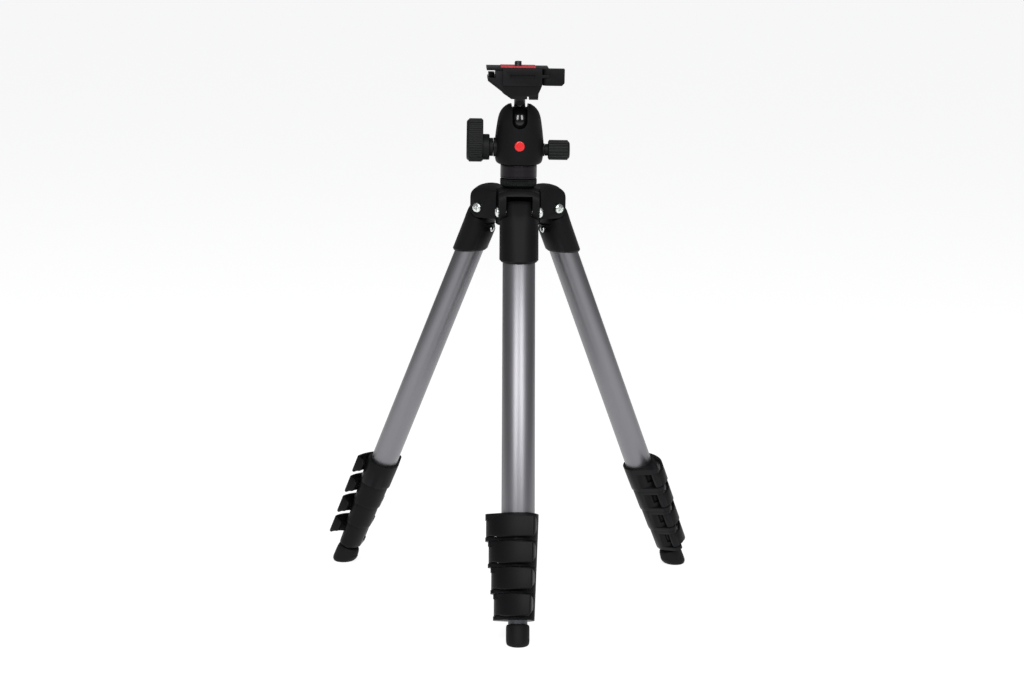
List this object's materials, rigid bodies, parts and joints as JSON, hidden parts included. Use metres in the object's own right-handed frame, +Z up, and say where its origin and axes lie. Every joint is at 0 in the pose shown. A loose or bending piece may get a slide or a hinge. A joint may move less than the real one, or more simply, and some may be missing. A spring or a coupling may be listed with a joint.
{
  "type": "camera tripod with ball head",
  "caption": "Compact folding tripod with flip-lock telescopic oval legs, a centre column, a ball head with side knobs and a quick-release camera plate; legs spread and retracted.",
  "frame": {"origin": "on the floor, at the centre of the part's box", "axes": "+Z up; the front leg points to -Y, the panning knob is at +X"},
  "size_m": [0.3134, 0.2758, 0.445],
  "materials": {
    "tube": "satin anodised",
    "casting": "fine matte powder coat",
    "plastic": "satin moulded",
    "column_tube": "satin black anodised",
    "ring": "satin dark grey anodised",
    "ball": "polished black",
    "plate": "matte black",
    "dark_screw": "blackened",
    "zinc_screw": "bright zinc",
    "rubber": "matte"
  },
  "bodies": {
    "crown_unit": {"crown": "casting", "pivot_bolt_front": "zinc_screw", "pivot_bolt_right": "zinc_screw", "pivot_bolt_left": "zinc_screw"},
    "column": {"centre_column": "column_tube", "head_base": "ring"},
    "column_ring": {"column_lock_ring": "plastic"},
    "head": {"head_body": "casting"},
    "ball": {"ball_stem": "ball"},
    "clamp": {"plate_clamp": "casting"},
    "clamp_lever": {"clamp_lever": "plastic"},
    "plate": {"camera_plate": "plate"},
    "screw": {"camera_screw": "dark_screw"},
    "ball_knob": {"ball_lock_knob": "plastic"},
    "pan_knob": {"pan_lock_knob": "plastic"},
    "leg_front": {"leg_front_casting": "casting", "leg_front_tube_1": "tube", "leg_front_lock_1": "plastic"},
    "leg_front_section_2": {"leg_front_tube_2": "tube", "leg_front_lock_2": "plastic"},
    "leg_front_section_3": {"leg_front_tube_3": "tube", "leg_front_lock_3": "plastic"},
    "leg_front_section_4": {"leg_front_tube_4": "tube", "leg_front_lock_4": "plastic"},
    "leg_front_section_5": {"leg_front_tube_5": "tube", "leg_front_foot": "rubber"},
    "leg_front_lever_1": {"leg_front_lever_1": "plastic"},
    "leg_front_lever_2": {"leg_front_lever_2": "plastic"},
    "leg_front_lever_3": {"leg_front_lever_3": "plastic"},
    "leg_front_lever_4": {"leg_front_lever_4": "plastic"},
    "leg_right": {"leg_right_casting": "casting", "leg_right_tube_1": "tube", "leg_right_lock_1": "plastic"},
    "leg_right_section_2": {"leg_right_tube_2": "tube", "leg_right_lock_2": "plastic"},
    "leg_right_section_3": {"leg_right_tube_3": "tube", "leg_right_lock_3": "plastic"},
    "leg_right_section_4": {"leg_right_tube_4": "tube", "leg_right_lock_4": "plastic"},
    "leg_right_section_5": {"leg_right_tube_5": "tube", "leg_right_foot": "rubber"},
    "leg_right_lever_1": {"leg_right_lever_1": "plastic"},
    "leg_right_lever_2": {"leg_right_lever_2": "plastic"},
    "leg_right_lever_3": {"leg_right_lever_3": "plastic"},
    "leg_right_lever_4": {"leg_right_lever_4": "plastic"},
    "leg_left": {"leg_left_casting": "casting", "leg_left_tube_1": "tube", "leg_left_lock_1": "plastic"},
    "leg_left_section_2": {"leg_left_tube_2": "tube", "leg_left_lock_2": "plastic"},
    "leg_left_section_3": {"leg_left_tube_3": "tube", "leg_left_lock_3": "plastic"},
    "leg_left_section_4": {"leg_left_tube_4": "tube", "leg_left_lock_4": "plastic"},
    "leg_left_section_5": {"leg_left_tube_5": "tube", "leg_left_foot": "rubber"},
    "leg_left_lever_1": {"leg_left_lever_1": "plastic"},
    "leg_left_lever_2": {"leg_left_lever_2": "plastic"},
    "leg_left_lever_3": {"leg_left_lever_3": "plastic"},
    "leg_left_lever_4": {"leg_left_lever_4": "plastic"}
  },
  "joints": [
    {"name": "leg_front_fold", "type": "hinge", "parent": "crown_unit", "child": "leg_front", "pos_m": [0.00143, 0.01124, 0.3239], "axis": [1, 0, 0], "range_deg": [0, 23.24]},
    {"name": "leg_front_slide_2", "type": "slide", "parent": "leg_front", "child": "leg_front_section_2", "axis": [0, -0.3946, -0.9189], "range_m": [0, 0.205]},
    {"name": "leg_front_slide_3", "type": "slide", "parent": "leg_front_section_2", "child": "leg_front_section_3", "axis": [0, -0.3946, -0.9189], "range_m": [0, 0.205]},
    {"name": "leg_front_slide_4", "type": "slide", "parent": "leg_front_section_3", "child": "leg_front_section_4", "axis": [0, -0.3946, -0.9189], "range_m": [0, 0.205]},
    {"name": "leg_front_slide_5", "type": "slide", "parent": "leg_front_section_4", "child": "leg_front_section_5", "axis": [0, -0.3946, -0.9189], "range_m": [0, 0.205]},
    {"name": "leg_front_flip_1", "type": "hinge", "parent": "leg_front", "child": "leg_front_lever_1", "pos_m": [-0.02037, -0.0876, 0.09373], "axis": [0, -0.3946, -0.9189], "range_deg": [0, 110]},
    {"name": "leg_front_flip_2", "type": "hinge", "parent": "leg_front_section_2", "child": "leg_front_lever_2", "pos_m": [-0.01822, -0.09581, 0.07461], "axis": [0, -0.3946, -0.9189], "range_deg": [0, 110]},
    {"name": "leg_front_flip_3", "type": "hinge", "parent": "leg_front_section_3", "child": "leg_front_lever_3", "pos_m": [-0.01607, -0.10402, 0.0555], "axis": [0, -0.3946, -0.9189], "range_deg": [0, 110]},
    {"name": "leg_front_flip_4", "type": "hinge", "parent": "leg_front_section_4", "child": "leg_front_lever_4", "pos_m": [-0.01392, -0.11223, 0.03639], "axis": [0, -0.3946, -0.9189], "range_deg": [0, 110]},
    {"name": "leg_right_fold", "type": "hinge", "parent": "crown_unit", "child": "leg_right", "pos_m": [0.02659, 0.05482, 0.3239], "axis": [-0.5, 0.866, 0], "range_deg": [0, 23.24]},
    {"name": "leg_right_slide_2", "type": "slide", "parent": "leg_right", "child": "leg_right_section_2", "axis": [0.3417, 0.1973, -0.9189], "range_m": [0, 0.205]},
    {"name": "leg_right_slide_3", "type": "slide", "parent": "leg_right_section_2", "child": "leg_right_section_3", "axis": [0.3417, 0.1973, -0.9189], "range_m": [0, 0.205]},
    {"name": "leg_right_slide_4", "type": "slide", "parent": "leg_right_section_3", "child": "leg_right_section_4", "axis": [0.3417, 0.1973, -0.9189], "range_m": [0, 0.205]},
    {"name": "leg_right_slide_5", "type": "slide", "parent": "leg_right_section_4", "child": "leg_right_section_5", "axis": [0.3417, 0.1973, -0.9189], "range_m": [0, 0.205]},
    {"name": "leg_right_flip_1", "type": "hinge", "parent": "leg_right", "child": "leg_right_lever_1", "pos_m": [0.12309, 0.08536, 0.09373], "axis": [0.3417, 0.1973, -0.9189], "range_deg": [0, 110]},
    {"name": "leg_right_flip_2", "type": "hinge", "parent": "leg_right_section_2", "child": "leg_right_lever_2", "pos_m": [0.12912, 0.09132, 0.07461], "axis": [0.3417, 0.1973, -0.9189], "range_deg": [0, 110]},
    {"name": "leg_right_flip_3", "type": "hinge", "parent": "leg_right_section_3", "child": "leg_right_lever_3", "pos_m": [0.13515, 0.09729, 0.0555], "axis": [0.3417, 0.1973, -0.9189], "range_deg": [0, 110]},
    {"name": "leg_right_flip_4", "type": "hinge", "parent": "leg_right_section_4", "child": "leg_right_lever_4", "pos_m": [0.14119, 0.10325, 0.03639], "axis": [0.3417, 0.1973, -0.9189], "range_deg": [0, 110]},
    {"name": "leg_left_fold", "type": "hinge", "parent": "crown_unit", "child": "leg_left", "pos_m": [-0.02373, 0.05482, 0.3239], "axis": [-0.5, -0.866, 0], "range_deg": [0, 23.24]},
    {"name": "leg_left_slide_2", "type": "slide", "parent": "leg_left", "child": "leg_left_section_2", "axis": [-0.3417, 0.1973, -0.9189], "range_m": [0, 0.205]},
    {"name": "leg_left_slide_3", "type": "slide", "parent": "leg_left_section_2", "child": "leg_left_section_3", "axis": [-0.3417, 0.1973, -0.9189], "range_m": [0, 0.205]},
    {"name": "leg_left_slide_4", "type": "slide", "parent": "leg_left_section_3", "child": "leg_left_section_4", "axis": [-0.3417, 0.1973, -0.9189], "range_m": [0, 0.205]},
    {"name": "leg_left_slide_5", "type": "slide", "parent": "leg_left_section_4", "child": "leg_left_section_5", "axis": [-0.3417, 0.1973, -0.9189], "range_m": [0, 0.205]},
    {"name": "leg_left_flip_1", "type": "hinge", "parent": "leg_left", "child": "leg_left_lever_1", "pos_m": [-0.09843, 0.12312, 0.09373], "axis": [-0.3417, 0.1973, -0.9189], "range_deg": [0, 110]},
    {"name": "leg_left_flip_2", "type": "hinge", "parent": "leg_left_section_2", "child": "leg_left_lever_2", "pos_m": [-0.10661, 0.12536, 0.07461], "axis": [-0.3417, 0.1973, -0.9189], "range_deg": [0, 110]},
    {"name": "leg_left_flip_3", "type": "hinge", "parent": "leg_left_section_3", "child": "leg_left_lever_3", "pos_m": [-0.11479, 0.1276, 0.0555], "axis": [-0.3417, 0.1973, -0.9189], "range_deg": [0, 110]},
    {"name": "leg_left_flip_4", "type": "hinge", "parent": "leg_left_section_4", "child": "leg_left_lever_4", "pos_m": [-0.12298, 0.12984, 0.03639], "axis": [-0.3417, 0.1973, -0.9189], "range_deg": [0, 110]},
    {"name": "column_slide", "type": "slide", "parent": "crown_unit", "child": "column", "axis": [0, 0, 1], "range_m": [0, 0.19]},
    {"name": "column_ring_twist", "type": "hinge", "parent": "crown_unit", "child": "column_ring", "pos_m": [0.00143, 0.04029, 0.3457], "axis": [0, 0, 1], "range_deg": [0, 90]},
    {"name": "head_pan", "type": "hinge", "parent": "column", "child": "head", "pos_m": [0.00143, 0.04029, 0.3603], "axis": [0, 0, 1], "continuous": true},
    {"name": "ball_tilt", "type": "hinge", "parent": "head", "child": "ball", "pos_m": [0.00143, 0.04029, 0.396], "axis": [1, 0, 0], "range_deg": [-12, 85]},
    {"name": "clamp_spin", "type": "hinge", "parent": "ball", "child": "clamp", "pos_m": [0.00143, 0.04029, 0.418], "axis": [0, 0, 1], "continuous": true},
    {"name": "clamp_lever_open", "type": "hinge", "parent": "clamp", "child": "clamp_lever", "pos_m": [0.02363, 0.02349, 0.4305], "axis": [0, 0, -1], "range_deg": [0, 50], "stiffness_Nm_per_rad": 0.02},
    {"name": "plate_lift", "type": "slide", "parent": "clamp", "child": "plate", "axis": [0, 0, 1], "range_m": [0, 0.02]},
    {"name": "camera_screw_turn", "type": "hinge", "parent": "plate", "child": "screw", "pos_m": [-0.00037, 0.04029, 0.434], "axis": [0, 0, 1], "continuous": true},
    {"name": "ball_knob_turn", "type": "hinge", "parent": "head", "child": "ball_knob", "pos_m": [-0.02857, 0.04029, 0.3742], "axis": [1, 0, 0], "range_deg": [-150, 150]},
    {"name": "pan_knob_turn", "type": "hinge", "parent": "head", "child": "pan_knob", "pos_m": [0.03143, 0.04029, 0.3724], "axis": [1, 0, 0], "continuous": true}
  ]
}
